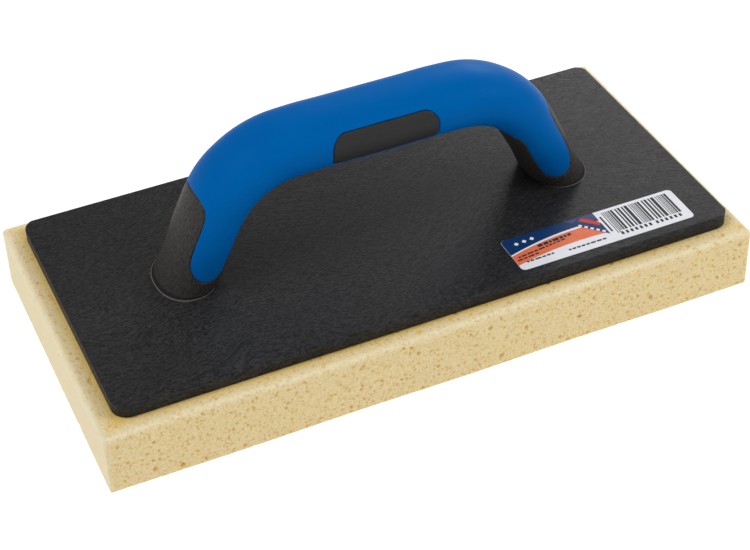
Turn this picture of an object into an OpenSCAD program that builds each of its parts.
// Wash and grout float: a sponge block glued under a plastic base plate,
// with a two-material bridge handle screwed on from below.
// Origin: centre of the sponge's lower face. +X along the handle, +Z up.

/* [Sponge] */
// Length of the sponge block
sponge_l = 280; // [240:5:320]
// Width of the sponge block
sponge_w = 140; // [130:5:180]
// Thickness of the sponge block
sponge_t = 28; // [18:1:40]

/* [Base plate] */
// Length of the base plate
plate_l = 266.5; // [230:0.5:270]
// Width of the base plate
plate_w = 126; // [110:1:128]
// Thickness of the base plate
plate_t = 5.3; // [5:0.1:8]
// Corner radius of the base plate, seen from above
plate_corner_r = 7; // [4:1:14]
// Rounding of the upper edge of the base plate
plate_edge_r = 1; // [0.5:0.1:1.5]
// Thickness of the glue line between plate and sponge
glue_t = 0.3; // [0.2:0.1:0.6]
// How far the plate is glued off the sponge's middle, along the length
plate_shift = 1; // [0:0.1:2]

/* [Handle] */
// Distance between the centres of the two handle feet
foot_span = 166; // [156:1:180]
// Height of the grip's centre line above the plate
grip_h = 50.4; // [46:0.2:56]
// Thickness of the grip, measured across the finger gap
grip_t = 23.8; // [22:0.2:26]
// Width of the grip, across the plate
grip_w = 32.4; // [30:0.2:36]
// Squareness of the grip's section: 2 is an ellipse
squareness = 2.2; // [2:0.1:2.6]
// Thickness of the coloured moulding over the core
skin_t = 2.4; // [2:0.1:3]
// Facets around the handle's section
seg = 28; // [20:4:36]

/* [Grip pads] */
// Length of each side pad
pad_l = 45.5; // [36:0.5:52]
// Height of each side pad
pad_h = 14.5; // [10:0.5:15]
// Radius of each pad's two upper corners
pad_r = 6.5; // [3:0.5:7]
// Radius of each pad's two lower corners
pad_low_r = 3; // [2:0.5:5]
// Height of the pads' centre above the grip's centre line
pad_up = -0.3; // [-1:0.1:1]

/* [Screws] */
// Offset of each screw from the middle of its foot, towards the grip
screw_in = 2.5; // [1:0.5:4]
// Distance between the two screws of one foot
screw_pitch = 14; // [12:1:16]
// Length of each screw, head included
screw_l = 20; // [16:1:22]
// Shank radius of each screw
shank_r = 1.95; // [1.7:0.05:2]
// Head radius of each screw
head_r = 4.2; // [3.8:0.1:4.4]

/* [Label] */
// Length of the label
label_l = 80; // [60:1:90]
// Width of the label
label_w = 20.5; // [15:0.5:22]
// Centre of the label along the plate
label_x = 79; // [60:0.5:80]
// Centre of the label across the plate
label_y = -47.3; // [-49:0.1:-40]

/* [Hidden] */
$fn = 48;
plate_z = sponge_t + glue_t;      // underside of the plate
top_z = plate_z + plate_t;        // upper face of the plate
pilot_r = shank_r + 0.05;
hole_r = shank_r + 0.25;
label_t = 0.15;
steps = 2;                        // rings between two stations

// Half of the handle's centre line, from the middle to a foot, in units of
// the default size: x, z above the plate, angle of the outward direction,
// half thickness, half width
half_line = [
  [0,    50.4, 90, 11.9, 16.2],
  [16,   50.5, 90, 11.9, 16.0],
  [30.5, 50.5, 88, 12.0, 16.0],
  [43.5, 49.3, 79, 12.0, 16.0],
  [55,   44.6, 58, 11.6, 16.3],
  [65,   35.8, 38, 11.6, 16.4],
  [74,   19.5, 25, 11.3, 16.5],
  [79,    8.0, 18, 11.3, 15.8],
  [82.3,  2.0,  8, 11.8, 15.8],
  [84,    0.0,  0, 12.2, 16.3]];
kx = foot_span / 166;
kz = grip_h / 50.4;
ka = grip_t / 23.8;
kb = grip_w / 32.4;

function sized(s) = [s[0] * kx, s[1] * kz, s[2], s[3] * ka, s[4] * kb];
function flipped(s) = [-s[0], s[1], 180 - s[2], s[3], s[4]];
last = len(half_line) - 1;
line = [for (i = [-last : last])
          i < 0 ? flipped(sized(half_line[-i])) : sized(half_line[i])];
n_line = len(line);

// Catmull-Rom blend between stations i and i + 1
function at(i) = i < 0 ? 2 * line[0] - line[1]
               : i >= n_line ? 2 * line[n_line - 1] - line[n_line - 2]
               : line[i];
function blend(i, t) =
  let (p = at(i - 1), q = at(i), r = at(i + 1), s = at(i + 2))
  0.5 * (2 * q + (r - p) * t + (2 * p - 5 * q + 4 * r - s) * t * t
         + (3 * q - p - 3 * r + s) * t * t * t);
path = concat([for (i = [0 : n_line - 2], k = [0 : steps - 1]) blend(i, k / steps)],
              [line[n_line - 1]]);

function spow(v) = sign(v) * pow(abs(v), 2 / squareness);
function ring(s, inset) =
  [for (k = [0 : seg - 1])
     let (t = 360 * k / seg, u = (s[3] - inset) * spow(sin(t)), w = (s[4] - inset) * spow(cos(t)))
     [s[0] + cos(s[2]) * u, w, s[1] + sin(s[2]) * u]];

// The whole handle, or the same shape drawn in by inset
module handle_shape(inset = 0) {
  n = len(path);
  pts = [for (s = path) each ring(s, inset)];
  sides = [for (i = [0 : n - 2], k = [0 : seg - 1])
             let (a = i * seg + k, b = i * seg + (k + 1) % seg)
             each [[a, b + seg, b], [a, a + seg, b + seg]]];
  caps = [[for (k = [0 : seg - 1]) k],
          [for (k = [seg - 1 : -1 : 0]) (n - 1) * seg + k]];
  translate([0, 0, top_z]) polyhedron(points = pts, faces = concat(sides, caps), convexity = 6);
}

// Side view of the bare part of one leg, x to the right, y up from the plate
leg_outline = [
  [110, 41], [76.9, 41], [75.6, 39], [75.3, 37], [75.6, 34.8], [76.6, 32.4],
  [78.3, 29], [80.4, 24.6], [82.7, 19.7], [83.9, 16.4], [84.3, 12.8], [83.7, 9.6],
  [82.2, 7.5], [80.2, 6.4], [77.2, 6], [74.4, 6.5], [72, 7.9], [70.3, 10.6],
  [66.7, 17.2], [64.6, 21.5], [62.6, 26], [60.4, 28.4], [57.4, 30.1], [49, 34],
  [46, 30], [46, -6], [110, -6]];

module side_prism(y0, y1) {
  translate([0, y1, top_z]) rotate([90, 0, 0]) linear_extrude(y1 - y0) children();
}

module bare_legs() {
  for (m = [0, 1]) mirror([m, 0, 0])
    side_prism(-30, 30)
      polygon([for (p = leg_outline) [p[0] * kx, p[1] * kz]]);
}

module rounded_rect(l, w, r) {
  square([l - 2 * r, w], center = true);
  square([l, w - 2 * r], center = true);
  for (x = [-1, 1], y = [-1, 1]) translate([x * (l / 2 - r), y * (w / 2 - r)]) circle(r);
}

module pad_prism(side) {
  side_prism(side < 0 ? -22 : 8, side < 0 ? -8 : 22)
    translate([0, grip_h + pad_up]) {
      rounded_rect(pad_l, pad_h, pad_r);
      translate([0, -pad_h / 4]) rounded_rect(pad_l, pad_h / 2, pad_low_r);
    }
}

module screw_places() {
  for (x = [-1, 1], y = [-1, 1])
    translate([x * (foot_span / 2 - screw_in), y * screw_pitch / 2, plate_z]) children();
}

// Everything that is glued to the sponge shares the plate's middle
module on_plate() {
  translate([plate_shift, 0, 0]) children();
}

module sponge() {
  color([0.87, 0.80, 0.63])
    translate([-sponge_l / 2, -sponge_w / 2, 0]) cube([sponge_l, sponge_w, sponge_t]);
}

module adhesive_layer() {
  color([0.75, 0.68, 0.45]) on_plate()
    translate([0, 0, sponge_t]) linear_extrude(glue_t)
      rounded_rect(plate_l - 3, plate_w - 3, plate_corner_r - 1.5);
}

// End view of the plate, w wide, with its two upper edges rounded
module plate_end(w) {
  e = plate_edge_r;
  translate([-w / 2, 0]) square([w, plate_t - e]);
  translate([-w / 2 + e, 0]) square([w - 2 * e, plate_t]);
  for (x = [-1, 1]) translate([x * (w / 2 - e), plate_t - e]) circle(e);
}

module base_plate() {
  color([0.21, 0.21, 0.21]) on_plate()
  difference() {
    translate([0, 0, plate_z]) intersection() {
      linear_extrude(plate_t) rounded_rect(plate_l, plate_w, plate_corner_r);
      translate([0, plate_w, 0]) rotate([90, 0, 0]) linear_extrude(2 * plate_w) plate_end(plate_l);
      translate([-plate_l, 0, 0]) rotate([90, 0, 90]) linear_extrude(2 * plate_l) plate_end(plate_w);
    }
    screw_places() {
      translate([0, 0, -1]) cylinder(r = hole_r, h = plate_t + 2);
      cylinder(r1 = head_r, r2 = hole_r, h = head_r - hole_r);
    }
  }
}

module handle_core() {
  color([0.23, 0.22, 0.21]) on_plate()
  difference() {
    union() {
      handle_shape(skin_t);
      intersection() { handle_shape(); bare_legs(); }
    }
    screw_places() translate([0, 0, plate_t - 1]) cylinder(r = pilot_r, h = screw_l - plate_t + 1.8);
  }
}

module handle_overmould() {
  color([0.0, 0.36, 0.65]) on_plate()
  difference() {
    handle_shape();
    handle_shape(skin_t);
    bare_legs();
    pad_prism(-1);
    pad_prism(1);
  }
}

module grip_pad(side) {
  color([0.24, 0.24, 0.24]) on_plate()
  intersection() {
    difference() { handle_shape(); handle_shape(skin_t); }
    pad_prism(side);
  }
}
module grip_pad_front() { grip_pad(-1); }
module grip_pad_rear() { grip_pad(1); }

module screw() {
  difference() {
    union() {
      cylinder(r1 = head_r, r2 = shank_r, h = head_r - shank_r);
      cylinder(r = shank_r, h = screw_l - 3);
      translate([0, 0, screw_l - 3]) cylinder(r1 = shank_r, r2 = 0.3, h = 3);
    }
    for (a = [0, 90]) rotate([0, 0, a]) translate([-2.3, -0.45, -1]) cube([4.6, 0.9, 2.4]);
  }
}

module handle_screws() {
  color([0.72, 0.70, 0.62]) on_plate() screw_places() screw();
}

module product_label() {
  color([0.90, 0.91, 0.93]) on_plate()
    translate([label_x, label_y, top_z]) linear_extrude(label_t)
      rounded_rect(label_l, label_w, 2);
}

sponge();
adhesive_layer();
base_plate();
handle_core();
handle_overmould();
grip_pad_front();
grip_pad_rear();
handle_screws();
product_label();
